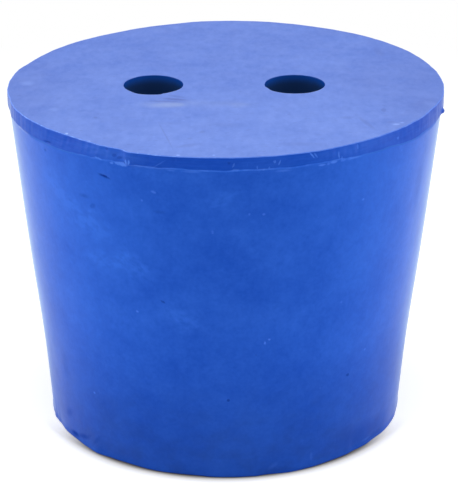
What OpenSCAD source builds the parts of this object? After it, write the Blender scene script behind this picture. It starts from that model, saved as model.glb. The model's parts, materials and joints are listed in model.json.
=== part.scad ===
// Two-hole laboratory stopper, moulded in one piece of solid rubber.
// A plug tapers down to its foot. Its wide end carries a straight trimmed band, with a small
// sloping shoulder under it where the two halves of the mould part. Two parallel holes run
// right through the plug for glass tubing.
// The foot stands on Z = 0 with its centre at the origin, and the holes lie in a row along X.

/* [Body] */
// Height from the foot to the top face
total_h = 29.6; // [15:0.1:60]
// Diameter of the foot, where the line of the wall meets the floor
foot_d = 31; // [27:0.1:34]
// Diameter of the tapered wall where it meets the shoulder
wall_top_d = 36.8; // [34:0.1:44]

/* [Band] */
// Height of the straight band, down from the top face
band_h = 1; // [0.6:0.1:4]
// How far the band stands out past the top of the tapered wall
band_proud = 0.1; // [0.05:0.01:1]
// Height of the sloping shoulder that carries the wall out to the band
shoulder_h = 0.1; // [0.05:0.01:1]

/* [Edges] */
// Radius of the edge round the foot
foot_edge_r = 0.2; // [0.1:0.05:1.5]
// Radius of the edge round the top face
top_edge_r = 0.15; // [0.05:0.05:0.5]

/* [Holes] */
// Diameter of each hole
hole_d = 5.1; // [2:0.1:9]
// Distance between the axes of the two holes
hole_spacing = 12.1; // [10:0.1:16]

/* [Hidden] */
foot_r = foot_d / 2;
wall_top_r = wall_top_d / 2;
band_r = wall_top_r + band_proud;
band_z = total_h - band_h;
wall_h = band_z - shoulder_h;
// Angle of the wall from upright
taper = atan((wall_top_r - foot_r) / wall_h);
// Distance from the corner at the foot to where its rounded edge begins, along either face
foot_tangent = foot_edge_r / tan((90 + taper) / 2);
// How far each hole's cutter runs past both ends of the plug
cut_past = 1;
// Facets round the body, round each hole and round an edge in the drawn preview
body_fn = 180;
hole_fn = 72;
edge_fn = 48;

// Straight-sided half section of the plug, with a flat across each corner that is rounded
module section_blank() {
    polygon([
        [0, 0],
        [foot_r - foot_tangent, 0],
        [foot_r + foot_tangent * sin(taper), foot_tangent * cos(taper)],
        [wall_top_r, wall_h],
        [band_r, band_z],
        [band_r, total_h - top_edge_r],
        [band_r - top_edge_r, total_h],
        [0, total_h]
    ]);
}

// Half section with its rounded edges: a circle that touches both faces fills each corner
module section() {
    union() {
        section_blank();
        translate([foot_r - foot_tangent, foot_edge_r])
            circle(r = foot_edge_r, $fn = edge_fn);
        translate([band_r - top_edge_r, total_h - top_edge_r])
            circle(r = top_edge_r, $fn = edge_fn);
    }
}

// Cutter for the hole on one side: -1 is the hole towards -X, and 1 the one towards +X
module hole_cutter(side) {
    translate([side * hole_spacing / 2, 0, -cut_past])
        cylinder(d = hole_d, h = total_h + 2 * cut_past, $fn = hole_fn);
}

module stopper() {
    color("royalblue")
        difference() {
            rotate_extrude($fn = body_fn) section();
            for (side = [-1, 1]) hole_cutter(side);
        }
}

stopper();
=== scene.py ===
"""Two-hole rubber stopper: the finished surface of the moulded plug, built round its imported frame.

The plug is one closed skin of rubber. Its side is a profile carried round the axis, with the
hand-trimmed rim, the worn foot edge and the small cuts worked into the grid. Each end face is a
fan of rays round the two holes, and each hole is a tube with softened mouths.

The frame is in metres. Sizes and places of marks are written in millimetres, times MM.
"""

import functools
import json
import logging
import math
from dataclasses import dataclass
from enum import Enum
from typing import Any, Sequence

import bpy
import numpy as np
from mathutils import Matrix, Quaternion, Vector


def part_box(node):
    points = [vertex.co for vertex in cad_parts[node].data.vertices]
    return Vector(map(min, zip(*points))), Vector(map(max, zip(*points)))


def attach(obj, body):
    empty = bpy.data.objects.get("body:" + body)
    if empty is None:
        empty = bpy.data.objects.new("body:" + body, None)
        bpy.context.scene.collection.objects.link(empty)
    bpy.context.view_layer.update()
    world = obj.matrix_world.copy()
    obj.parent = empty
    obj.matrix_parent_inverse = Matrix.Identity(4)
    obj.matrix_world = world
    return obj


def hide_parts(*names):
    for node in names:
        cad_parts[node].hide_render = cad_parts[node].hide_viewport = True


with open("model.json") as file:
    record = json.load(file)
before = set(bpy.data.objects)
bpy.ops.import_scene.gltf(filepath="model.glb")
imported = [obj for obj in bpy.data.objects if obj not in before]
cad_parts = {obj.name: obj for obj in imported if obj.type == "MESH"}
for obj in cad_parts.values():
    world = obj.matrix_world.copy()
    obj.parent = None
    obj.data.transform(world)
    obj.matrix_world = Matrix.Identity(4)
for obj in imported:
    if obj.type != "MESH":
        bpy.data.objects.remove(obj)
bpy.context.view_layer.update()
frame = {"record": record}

MM = 0.001
TURN = 2.0 * math.pi
NODE = "stopper"
RAYS_SEEN = ("Camera", "Glossy", "Transmission")

WHITE = (1.0, 1.0, 1.0)
BLACK = (0.0, 0.0, 0.0)

Triple = tuple[float, float, float]
Colour = Triple
Layers = tuple[tuple[Any, ...], ...]
Stops = tuple[tuple[float, float], ...]
Waves = tuple[Triple, ...]

# Soft borders, as shares of a mark's size. A mark on the side is crisp up to a half length of LONG
# millimetres and soft from there on.
CRISP = 0.8
SOFT = 1.6
SOFT_LIT = 1.7
LONG = 0.45

log = logging.getLogger("stopper")


# Shader maths


class Wire:
    """One output in a material's nodes. Arithmetic on it adds Math nodes."""

    def __init__(self, bench: "Bench", socket: bpy.types.NodeSocket) -> None:
        """Holds the socket and the bench that makes its nodes."""
        self.bench = bench
        self.socket = socket

    def _with(self, operation: str, first: Any, second: Any) -> "Wire":
        """Returns the Math node's result for two values, each a Wire or a number."""
        return self.bench.node("ShaderNodeMath", {"operation": operation}, {0: first, 1: second})

    def __add__(self, other: "Wire | float") -> "Wire":
        """Returns self + other."""
        return self._with("ADD", self, other)

    def __sub__(self, other: "Wire | float") -> "Wire":
        """Returns self - other."""
        return self._with("SUBTRACT", self, other)

    def __rsub__(self, other: float) -> "Wire":
        """Returns other - self."""
        return self._with("SUBTRACT", other, self)

    def __mul__(self, other: "Wire | float") -> "Wire":
        """Returns self * other."""
        return self._with("MULTIPLY", self, other)

    __radd__ = __add__
    __rmul__ = __mul__

    def most(self, other: "Wire | float") -> "Wire":
        """Returns the larger of self and other."""
        return self._with("MAXIMUM", self, other)


@dataclass(frozen=True)
class Oval:
    """A soft oval in space, in millimetres: a middle and three half axes at right angles."""

    middle: Vector
    half_axes: tuple[Vector, Vector, Vector]

    def axes(self) -> list[tuple[float, ...]]:
        """Returns each half axis over its length squared: a dot product gives 1 at its end."""
        return [tuple(a / a.length_squared) for a in self.half_axes]


class Bench:
    """Makes the nodes of one material or of the world. Lengths and points are millimetres."""

    def __init__(self, tree: bpy.types.NodeTree) -> None:
        """Empties the node tree and takes it over."""
        self.tree = tree
        tree.nodes.clear()

    def _add(self, kind: str, settings: dict[str, Any], inputs: dict[Any, Any]) -> bpy.types.Node:
        """Adds a node.

        Args:
            kind: The node's type.
            settings: The node's own properties, set before its sockets are filled.
            inputs: A value or a Wire for each socket, named by place, name or identifier.

        Returns:
            The node.
        """
        made = self.tree.nodes.new(kind)
        for name, value in settings.items():
            setattr(made, name, value)
        for key, value in inputs.items():
            socket = self._socket(made.inputs, key)
            if isinstance(value, Wire):
                self.tree.links.new(value.socket, socket)
            elif socket.type == "RGBA":
                socket.default_value = (*value[:3], 1.0)
            else:
                socket.default_value = value
        return made

    def node(
        self, kind: str, settings: dict[str, Any], inputs: dict[Any, Any], output: Any = 0
    ) -> Wire:
        """Adds a node and picks one output.

        Args:
            kind: The node's type.
            settings: The node's own properties.
            inputs: A value or a Wire for each socket.
            output: The output wanted, by place, name or identifier.

        Returns:
            The wanted output.
        """
        made = self._add(kind, settings, inputs)
        return Wire(self, self._socket(made.outputs, output))

    def close(self, kind: str, shader: Wire) -> None:
        """Adds the output node of that kind and joins the shader to it."""
        self._add(kind, {}, {"Surface": shader})

    @staticmethod
    def _socket(sockets: Any, key: Any) -> bpy.types.NodeSocket:
        """Finds a socket.

        Args:
            sockets: A node's inputs or outputs.
            key: The socket's place, identifier or name.

        Returns:
            The socket.
        """
        if isinstance(key, int):
            return sockets[key]
        named = {s.identifier: s for s in sockets}
        return named[key] if key in named else sockets[key]

    def vector(self, operation: str, first: Any, second: Any, output: Any = 0) -> Wire:
        """Returns a Vector Math node's result for two vectors."""
        settings = {"operation": operation}
        return self.node("ShaderNodeVectorMath", settings, {0: first, 1: second}, output)

    @functools.cached_property
    def point(self) -> Wire:
        """The point on the piece."""
        scaled = {0: self.node("ShaderNodeTexCoord", {}, {}, "Object"), "Scale": 1.0 / MM}
        return self.node("ShaderNodeVectorMath", {"operation": "SCALE"}, scaled)

    def part(self, axis: str) -> Wire:
        """Returns the point's x, y or z; axis is X, Y or Z."""
        return self.node("ShaderNodeSeparateXYZ", {}, {0: self.point}, axis)

    def length(self, vector: Wire) -> Wire:
        """Returns the vector's length."""
        return self.node("ShaderNodeVectorMath", {"operation": "LENGTH"}, {0: vector}, "Value")

    def blend(self, share: Any, first: Wire, second: Wire) -> Wire:
        """Returns a shader that goes from the first to the second as share goes from 0 to 1."""
        return self.node("ShaderNodeMixShader", {}, {0: share, 1: first, 2: second})

    def mix(self, share: Any, low: Any, high: Any) -> Wire:
        """Blends two colours.

        Args:
            share: 0 for the low colour and 1 for the high one.
            low: A colour or a Wire.
            high: A colour or a Wire.

        Returns:
            The blended colour.
        """
        settings = {"data_type": "RGBA", "clamp_factor": True}
        inputs = {"Factor_Float": share, "A_Color": low, "B_Color": high}
        return self.node("ShaderNodeMix", settings, inputs, "Result_Color")

    def step(self, value: Wire, start: float, end: float) -> Wire:
        """Makes a smooth step.

        Args:
            value: What is compared.
            start: Where the step leaves 0.
            end: Where it reaches 1, above or below start.

        Returns:
            The step, from 0 to 1.
        """
        settings = {"interpolation_type": "SMOOTHSTEP"}
        inputs = {"Value": value, "From Min": start, "From Max": end}
        return self.node("ShaderNodeMapRange", settings, inputs)

    def noise(
        self, size: float | Triple, detail: float = 2.0, shift: float = 0.0, at: Any = None
    ) -> Wire:
        """Makes soft lumps.

        Args:
            size: Size of the lumps, or their sizes along x, y and z.
            detail: How many finer layers they hold.
            shift: Moves the pattern, so that two layers of one size differ.
            at: Where to read them, if not at the point on the piece.

        Returns:
            A value from 0 to 1, about 0.5 on average.
        """
        sizes = size if isinstance(size, tuple) else (size,) * 3
        scaled = self.vector("DIVIDE", at or self.point, sizes)
        moved = self.vector("ADD", scaled, (shift, 1.7 * shift, 2.3 * shift))
        inputs = {"Vector": moved, "Scale": 1.0, "Detail": detail, "Roughness": 0.55}
        return self.node("ShaderNodeTexNoise", {"noise_dimensions": "3D"}, inputs)

    def lumps(self, *layers: tuple[Any, ...]) -> Wire:
        """Returns the sum of weight * (noise - 0.5) over layers of (weight, noise's own values)."""
        return sum((self.noise(*rest) - 0.5) * weight for weight, *rest in layers)

    def blots(self, start: float, end: float, *lumps: Any) -> Wire:
        """Returns a smooth step from start to end over the noise that takes the rest."""
        return self.step(self.noise(*lumps), start, end)

    def ragged(self, size: float, reach: float) -> Wire:
        """Moves the point about, so that what is read there gets an uneven border.

        Args:
            size: Size of the lumps in which it moves.
            reach: Twice the furthest that it moves along each axis.

        Returns:
            The moved point.
        """
        scaled = {"Vector": self.point, "Scale": 1.0 / size, "Detail": 2.0}
        colour = self.node("ShaderNodeTexNoise", {"noise_dimensions": "3D"}, scaled, 1)
        centred = self.vector("SUBTRACT", colour, (0.5,) * 3)
        return self.vector("ADD", self.point, self.vector("MULTIPLY", centred, (reach,) * 3))

    def turned(self, point: Wire, axes: Sequence[Any]) -> Wire:
        """Returns the point's distances along three axes, as a vector."""
        parts = {i: self.vector("DOT_PRODUCT", point, tuple(a), "Value") for i, a in enumerate(axes)}
        return self.node("ShaderNodeCombineXYZ", {}, parts)

    def specks(self, spacing: float, radius: float, shift: float) -> Wire:
        """Scatters small round specks through the rubber.

        Args:
            spacing: Average gap between speck centres.
            radius: Radius of the largest speck.
            shift: Moves the pattern.

        Returns:
            1 inside a speck and 0 outside.
        """
        moved = self.vector("ADD", self.point, (shift,) * 3)
        gap = self.node("ShaderNodeTexVoronoi", {}, {"Vector": moved, "Scale": 1.0 / spacing})
        return self.step(gap, radius / spacing, 0.5 * radius / spacing)

    def inside(self, point: Wire, oval: Oval, fade: float) -> Wire:
        """Marks the inside of an oval.

        The three dot products of the point's offset with the oval's axes form a vector whose
        length is 1 on the oval.

        Args:
            point: Where to read it.
            oval: The oval.
            fade: Share of the oval's size that its soft border takes up.

        Returns:
            1 inside and 0 outside.
        """
        off = self.vector("SUBTRACT", point, tuple(oval.middle))
        reach = self.length(self.turned(off, oval.axes()))
        return self.step(reach, 1.0 + 0.5 * fade, 1.0 - 0.5 * fade)


# Surfaces


class Zone(Enum):
    """Part of the plug's skin; the value is the material place that its faces use."""

    WALL = 0
    LIP = 1
    BAND = 2
    TOP = 3
    BORE = 4
    FOOT = 5
    EDGE = 6


@dataclass(frozen=True)
class Patch:
    """A grid of points that is part of a closed skin. Its last column joins its first.

    Attributes:
        points: Array of shape (rows, columns, 3).
        zones: The zone number of each strip between two rows.
        flip: True where the faces would otherwise look inwards.
    """

    points: np.ndarray
    zones: np.ndarray
    flip: bool = False

    def faces(self) -> np.ndarray:
        """Joins the grid's neighbours into quads.

        Returns:
            The quads, as indices into the grid's own points.
        """
        rows, columns = self.points.shape[:2]
        index = np.arange(rows * columns).reshape(rows, columns)
        beside = np.roll(index, -1, axis=1)
        quads = np.stack([index[:-1], beside[:-1], beside[1:], index[1:]], axis=-1).reshape(-1, 4)
        return quads[:, ::-1] if self.flip else quads

    def face_zones(self) -> np.ndarray:
        """Returns the zone number of each quad, in the order of faces()."""
        return np.repeat(self.zones, self.points.shape[1])


def weld(patches: list[Patch], step: float = 1e-8) -> tuple[np.ndarray, np.ndarray, np.ndarray]:
    """Joins patches whose borders hold the same points into one closed skin.

    Points that fall in the same cell of a fine grid become one point.

    Args:
        patches: The patches, with the same points along each shared border.
        step: Size of the grid's cell.

    Returns:
        The points, the quads and the zone number of each quad.
    """
    starts = np.cumsum([0] + [p.points.shape[0] * p.points.shape[1] for p in patches])
    points = np.concatenate([p.points.reshape(-1, 3) for p in patches])
    quads = np.concatenate([p.faces() + s for p, s in zip(patches, starts)])
    zones = np.concatenate([p.face_zones() for p in patches])
    cells = np.round(points / step).astype(np.int64)
    _, first, owner = np.unique(cells, axis=0, return_index=True, return_inverse=True)
    return points[first], owner.reshape(-1)[quads], zones


def turn_gap(theta: np.ndarray, centre_deg: float) -> np.ndarray:
    """Returns the signed angle from centre_deg to theta, in radians between -pi and pi."""
    return (theta - math.radians(centre_deg) + math.pi) % TURN - math.pi


def eased_loop(theta: np.ndarray, stops: Stops) -> np.ndarray:
    """Returns a value that eases from stop to stop round the circle.

    Between two stops the value follows half a cosine wave, so it is level at each stop.

    Args:
        theta: Angles in radians.
        stops: Pairs of an angle in degrees and the value there, in rising order of angle.

    Returns:
        The value at each angle.
    """
    angles = np.array([s[0] for s in stops] + [stops[0][0] + 360.0])
    values = np.array([s[1] for s in stops] + [stops[0][1]])
    degrees = (np.degrees(theta) - angles[0]) % 360.0 + angles[0]
    before = np.clip(np.searchsorted(angles, degrees, side="right") - 1, 0, len(stops) - 1)
    share = (degrees - angles[before]) / (angles[before + 1] - angles[before])
    blend = 0.5 - 0.5 * np.cos(math.pi * share)
    return values[before] + (values[before + 1] - values[before]) * blend


def ripples(theta: np.ndarray, waves: Waves) -> np.ndarray:
    """Returns the sum of size * sin(count * theta + start) over waves of (size, count, start)."""
    return sum(size * np.sin(count * theta + start) for size, count, start in waves)


def graded(marks: tuple[float, ...], steps: tuple[int, ...]) -> np.ndarray:
    """Returns values that rise from mark to mark in the given numbers of even steps."""
    runs = [np.linspace(a, b, n, endpoint=False) for a, b, n in zip(marks, marks[1:], steps)]
    return np.concatenate([*runs, np.array([marks[-1]])])


# Marks


class Tint(Enum):
    """What colour a mark has."""

    SOIL = "soil"
    TORN = "torn"
    DULL = "dull"
    NAVY = "navy"


@dataclass(frozen=True)
class Mark:
    """A tinted oval on a finish; fade is the share of its size that its border takes up."""

    oval: Oval
    tint: Tint
    strength: float
    fade: float


class Rowed:
    """A kind of mark that can be made from rows of its fields."""

    @classmethod
    def rows(cls, tint: Tint, *rows: tuple[float, ...]) -> tuple[Any, ...]:
        """Returns a mark of that tint for each row of its other fields, in their order."""
        return tuple(cls(*row, tint=tint) for row in rows)


@dataclass(frozen=True)
class Scar(Rowed):
    """A small cut, chip, burr or speck on the plug's side. Lengths are millimetres.

    Attributes:
        turn_deg: Angle of its middle round the axis; 270 faces the front.
        height: Height of its middle above the foot.
        along: Half its length.
        across: Half its width.
        strength: How strongly the tint covers the rubber, from 0 to 1.
        slant_deg: How far its long side rises from level, going round.
        depth: How far it goes in; below zero it stands out.
        tint: What colour it has.
    """

    turn_deg: float
    height: float
    along: float
    across: float
    strength: float = 1.0
    slant_deg: float = 0.0
    depth: float = 0.0
    tint: Tint = Tint.SOIL

    def cover(self, theta: np.ndarray, height: np.ndarray, radius: float) -> np.ndarray:
        """Works out how far each point lies in the scar.

        The cover is exp(-(a ** 2 + b ** 2) ** 1.5), where a and b are the distances along and
        across the scar, each divided by its half size.

        Args:
            theta: Angle of each point, in radians.
            height: Height of each point, in metres.
            radius: Radius that turns an angle into a distance round the side, in metres.

        Returns:
            The cover, from 0 outside to 1 in the middle, of the same shape as height.
        """
        around = turn_gap(theta, self.turn_deg) * radius / MM
        rise = height / MM - self.height
        cosine = math.cos(math.radians(self.slant_deg))
        sine = math.sin(math.radians(self.slant_deg))
        a = (around * cosine + rise * sine) / self.along
        b = (rise * cosine - around * sine) / self.across
        return np.exp(-((a * a + b * b) ** 1.5))

    def oval(self, radius: float, thick: float) -> Oval:
        """Lays the scar on a round side.

        Args:
            radius: Radius of the side there, in millimetres.
            thick: Half the oval's thickness.

        Returns:
            The oval.
        """
        turn = math.radians(self.turn_deg)
        slant = math.radians(self.slant_deg)
        out = Vector((math.cos(turn), math.sin(turn), 0.0))
        level = Vector((-math.sin(turn), math.cos(turn), 0.0))
        up = Vector((0.0, 0.0, 1.0))
        length = level * math.cos(slant) + up * math.sin(slant)
        width = up * math.cos(slant) - level * math.sin(slant)
        middle = out * radius + up * self.height
        return Oval(middle, (length * self.along, width * self.across, out * thick))

    @property
    def fade(self) -> float:
        """Share of its size that its border takes up: more where it is long."""
        return CRISP if self.along < LONG else SOFT


@dataclass(frozen=True)
class Rub(Rowed):
    """A mark on the top face. Lengths and places are millimetres.

    Attributes:
        x: Place of its middle to the right of the axis.
        y: Place of its middle behind the axis.
        along: Half its length.
        across: Half its width.
        strength: How strongly the tint covers the rubber, from 0 to 1.
        fade: Share of its size that its border takes up.
        turn_deg: Angle of its long side from the x axis.
        tint: What colour it has.
    """

    x: float
    y: float
    along: float
    across: float
    strength: float
    fade: float = CRISP
    turn_deg: float = 0.0
    tint: Tint = Tint.SOIL

    def mark(self, top: float) -> Mark:
        """Lays the rub on a level face.

        Args:
            top: Height of the face, in millimetres.

        Returns:
            The mark, an oval that reaches 1 mm above and below the face.
        """
        turn = math.radians(self.turn_deg)
        length = Vector((math.cos(turn), math.sin(turn), 0.0))
        width = Vector((-math.sin(turn), math.cos(turn), 0.0))
        up = Vector((0.0, 0.0, 1.0))
        middle = Vector((self.x, self.y, top))
        oval = Oval(middle, (length * self.along, width * self.across, up))
        return Mark(oval, self.tint, self.strength, self.fade)


# Finishes


@dataclass(frozen=True)
class Rubber:
    """The blue rubber, as all its finishes share it. Lengths are millimetres.

    Attributes:
        name: Name of the material.
        deep: Colour of the rubber where it is richest.
        pale: Colour where bloom or scuffing has greyed it.
        soil: Colour of dirt in cuts, and of painted shade low on the wall and along a fold on the top.
        torn: Colour of freshly torn edges and dust, and of painted highlight along the lip.
        dull: Colour of a dry greyish film.
        navy: Colour of dark smudges and specks, and of painted shade in slits, pits and under a chip;
            it doesn't shine.
        grain: Layers of lumps that make its fine height, in millimetres.
        roughness: Roughness of the surface on average.
        patchy_sheen: How far the roughness varies.
        gloss: Specular level; the rubber mirrors little when seen straight on.
        rim: How strongly it mirrors the room where it is seen edge on.
        rim_colour: Colour of that mirroring.
        border: Size and reach of the unevenness of the marks' borders.
        marks: Tinted ovals laid over the colour.
    """

    name: str = "rubber"
    deep: Colour = (0.002, 0.079, 0.560)
    pale: Colour = (0.026, 0.152, 0.760)
    soil: Colour = (0.003, 0.026, 0.170)
    torn: Colour = (0.200, 0.380, 0.920)
    dull: Colour = (0.280, 0.360, 0.600)
    navy: Colour = (0.008, 0.044, 0.330)
    grain: Layers = ((0.003, 0.25),)
    roughness: float = 0.38
    patchy_sheen: float = 0.12
    gloss: float = 0.15
    rim: float = 0.3
    rim_colour: Colour = (0.80, 0.97, 0.90)
    border: tuple[float, float] = (0.2, 0.12)
    marks: tuple[Mark, ...] = ()

    def tone(self, bench: Bench) -> Wire:
        """Returns the colour over the surface, without its marks."""
        return bench.mix(bench.noise(5.0), self.deep, self.pale)

    def sheen(self, bench: Bench) -> Wire:
        """Returns the roughness over the surface."""
        return self.roughness + (bench.noise(1.5) - 0.5) * self.patchy_sheen

    def cover(self, bench: Bench, uneven: Wire, tint: Tint) -> Wire | float:
        """Finds the marks of one tint.

        Args:
            bench: The material's bench.
            uneven: The point on the piece, moved about a little so that borders are ragged.
            tint: The tint wanted.

        Returns:
            The strongest cover there, from 0 to 1.
        """
        share: Wire | float = 0.0
        for mark in (m for m in self.marks if m.tint is tint):
            share = (bench.inside(uneven, mark.oval, mark.fade) * mark.strength).most(share)
        return share

    def marked(self, bench: Bench, uneven: Wire, base: Wire) -> Wire:
        """Lays the marks of each shining tint over the colour.

        Args:
            bench: The material's bench.
            uneven: The point on the piece, moved about a little.
            base: The colour without marks.

        Returns:
            The colour with marks.
        """
        for tint in (Tint.SOIL, Tint.TORN, Tint.DULL):
            base = bench.mix(self.cover(bench, uneven, tint), base, getattr(self, tint.value))
        return base

    def material(self) -> bpy.types.Material:
        """Makes satin rubber that mirrors the room edge on, with matt dark smudges and matt painted
        shade in slits and pits.

        Returns:
            The material.
        """
        made = bpy.data.materials.new(self.name)
        made.use_nodes = True
        bench = Bench(made.node_tree)
        uneven = bench.ragged(*self.border)
        bump = {"Strength": 1.0, "Distance": MM, "Height": bench.lumps(*self.grain)}
        inputs = {
            "Base Color": self.marked(bench, uneven, self.tone(bench)),
            "Roughness": self.sheen(bench),
            "Specular IOR Level": self.gloss,
            "Normal": bench.node("ShaderNodeBump", {}, bump, "Normal"),
        }
        body = bench.node("ShaderNodeBsdfPrincipled", {}, inputs)
        mirror = {"Color": self.rim_colour, "Roughness": self.roughness}
        veil = bench.node("ShaderNodeBsdfGlossy", {}, mirror)
        share = self.edge_on(bench) * self.rim * self.mirroring_left(bench)
        # Matt navy marks: dark smudges, and painted shade in slits, pits and under a chip at the foot.
        matt = bench.node("ShaderNodeBsdfDiffuse", {}, {"Color": self.navy})
        pits = self.cover(bench, uneven, Tint.NAVY)
        mixed = bench.blend(pits, bench.blend(share, body, veil), matt)
        bench.close("ShaderNodeOutputMaterial", mixed)
        return made

    def mirroring_left(self, bench: Bench) -> Wire | float:
        """Returns how much of the edge-on mirroring is left over the surface."""
        return 1.0

    @staticmethod
    def edge_on(bench: Bench) -> Wire:
        """Works out (1 - c) ** 8, where c is the cosine of the angle of view.

        Args:
            bench: The material's bench.

        Returns:
            The result, 1 edge on and 0 seen straight on.
        """
        facing = bench.node("ShaderNodeLayerWeight", {}, {"Blend": 0.5}, "Facing")
        squared = facing * facing
        fourth = squared * squared
        return fourth * fourth


@dataclass(frozen=True)
class MouldedWall(Rubber):
    """The moulded side: cloudy, drawn slightly round and down, smeared, dusty, with painted light up
    the sides and painted shade at the foot.

    Attributes:
        smears: Ovals of pale rubbed-on smear.
        smeared: How far a smear pales the rubber.
        lit_patches: Wide ovals of painted light, where the rubber is paler.
        lit_patch_gain: How far a patch of painted light pales it.
        paleness: How pale the rest is on average, from 0 for deep to 1 for pale.
        shade_top: Height at which the painted shade near the foot starts.
        shade_foot: Height at which it would be full.
        shade_hides: Share of the edge-on mirroring that full painted shade takes away.
    """

    name: str = "moulded_wall"
    torn: Colour = (0.100, 0.280, 0.980)
    gloss: float = 0.14
    rim: float = 0.65
    grain: Layers = (
        (0.003, 0.3), (0.004, (0.22, 0.22, 5.0), 2.0, 4.0), (0.03, (3.0, 3.0, 4.0), 1.0, 6.0),
    )
    smears: tuple[Oval, ...] = ()
    smeared: float = 0.45
    lit_patches: tuple[Oval, ...] = ()
    lit_patch_gain: float = 0.42
    paleness: float = 0.24
    shade_top: float = 13.0
    shade_foot: float = -2.0
    shade_hides: float = 0.75

    def tone(self, bench: Bench) -> Wire:
        """Makes clouds, painted light up the sides and smears, with painted shade low down and dust
        specks.

        Args:
            bench: The material's bench.

        Returns:
            The colour without marks.
        """
        low = self.low(bench)
        share = self.paleness + bench.lumps((0.8, 4.5, 3.0), (0.4, 0.3, 2.0, 19.0))
        share = share + bench.lumps((0.6, 0.9, 4.0, 5.0)) * (1.0 - low * 0.5)
        # Painted light: wide paler ovals high on the left and right sides.
        for bloom in self.lit_patches:
            share = share + bench.inside(bench.point, bloom, SOFT_LIT) * self.lit_patch_gain
        edge = bench.ragged(1.1, 1.8)
        for smear in self.smears:
            axes = tuple(a.normalized() for a in smear.half_axes)
            drawn = bench.noise((0.9, 0.5, 2.0), 4.0, 9.0, bench.turned(bench.point, axes))
            rubbed = bench.inside(edge, smear, SOFT) * bench.step(drawn, 0.3, 0.66)
            share = share + rubbed * self.smeared
        base = bench.mix(share, self.deep, self.pale)
        # Painted shade: the wall darkens towards the foot, more at the front and in patches.
        patchy = bench.blots(0.35, 0.75, (2.2, 2.2, 1.6), 3.0, 13.0)
        front = 0.6 + bench.step(bench.part("Y"), -7.0, -13.0) * 0.4
        base = bench.mix(low * front * (0.34 + patchy * 0.24), base, self.soil)
        base = bench.mix(bench.specks(2.4, 0.08, 3.0) * 0.15, base, self.torn)
        return bench.mix(bench.specks(3.1, 0.11, 8.0) * 0.25, base, self.navy)

    def low(self, bench: Bench) -> Wire:
        """Returns how far down the wall a point is: 0 above the painted shade, near 1 at the foot."""
        return bench.step(bench.part("Z"), self.shade_top, self.shade_foot)

    def mirroring_left(self, bench: Bench) -> Wire | float:
        """Returns how much of the edge-on mirroring is left: less under the painted shade."""
        return 1.0 - self.low(bench) * self.shade_hides


@dataclass(frozen=True)
class TrimmedBand(Rubber):
    """The band that the trimming knife left: richer and partly darkened as painted shade, with
    clusters of pale cross cuts.
    """

    name: str = "trimmed_band"
    # Darker than the wall: fresh cut rubber, and partly painted shade.
    deep: Colour = (0.003, 0.062, 0.485)
    pale: Colour = (0.015, 0.104, 0.605)
    torn: Colour = (0.110, 0.300, 0.970)
    gloss: float = 0.1

    def tone(self, bench: Bench) -> Wire:
        """Makes streaks along the cut, crossed by a few pale nicks.

        Args:
            bench: The material's bench.

        Returns:
            The colour without marks.
        """
        along = (0.8, (2.5, 2.5, 0.16))
        mottle = (0.8, (0.7, 0.7, 0.4), 3.0, 6.0)
        base = bench.mix(0.25 + bench.lumps(along, mottle), self.deep, self.pale)
        cross = bench.blots(0.62, 0.8, (0.16, 0.16, 1.0), 1.0, 3.0)
        cluster = bench.blots(0.5, 0.7, 2.6, 1.0, 11.0)
        front = bench.step(bench.part("Y"), -7.0, -12.0)
        return bench.mix(cross * cluster * front * 0.1, base, self.torn)


@dataclass(frozen=True)
class TornHighlitLip(Rubber):
    """The narrow step under the band, pale in places on the front, torn rubber with painted highlight,
    and painted shade elsewhere.

    Attributes:
        shaded: Its colour away from the front.
    """

    name: str = "torn_highlit_lip"
    torn: Colour = (0.095, 0.260, 0.930)
    shaded: Colour = (0.012, 0.115, 0.580)
    rim: float = 0.0

    def tone(self, bench: Bench) -> Wire:
        """Makes broken pale stretches on the front, torn rubber with painted highlight, and painted
        shade away from it.

        Args:
            bench: The material's bench.

        Returns:
            The colour without marks.
        """
        base = bench.mix(bench.noise(1.2), self.deep, self.pale)
        broken = bench.blots(0.42, 0.66, 0.8, 3.0, 2.0)
        across = bench.part("X")
        middle = bench.step(across, -13.5, -9.5) * bench.step(across, 13.5, 9.5)
        # Painted highlight with torn rubber on the front of the lip; the shaded colour is painted
        # shade away from it.
        front = middle * bench.step(bench.part("Y"), 0.0, -6.0)
        shown = bench.mix(front, self.shaded, base)
        return bench.mix((0.05 + broken * 0.24) * front, shown, self.torn)


@dataclass(frozen=True)
class HighlitEdge(Rubber):
    """The edge of the top, with a painted highlight along it, brighter on the left."""

    name: str = "highlit_edge"
    deep: Colour = (0.050, 0.155, 0.640)
    pale: Colour = (0.130, 0.270, 0.860)
    gloss: float = 0.3

    def tone(self, bench: Bench) -> Wire:
        """Makes the painted highlight in short brighter and duller stretches, brighter on the left.

        Args:
            bench: The material's bench.

        Returns:
            The colour without marks.
        """
        # Painted highlight along the top edge, stronger on the left.
        left = bench.step(bench.part("X"), 4.0, -9.0)
        worn = 0.1 + bench.lumps((0.8, 1.0, 3.0, 2.0)) + left * 0.45
        base = bench.mix(worn, self.deep, self.pale)
        crumbs = bench.blots(0.52, 0.66, 0.4, 2.0, 11.0)
        return bench.mix(crumbs * left * 0.6, base, self.torn)


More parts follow.
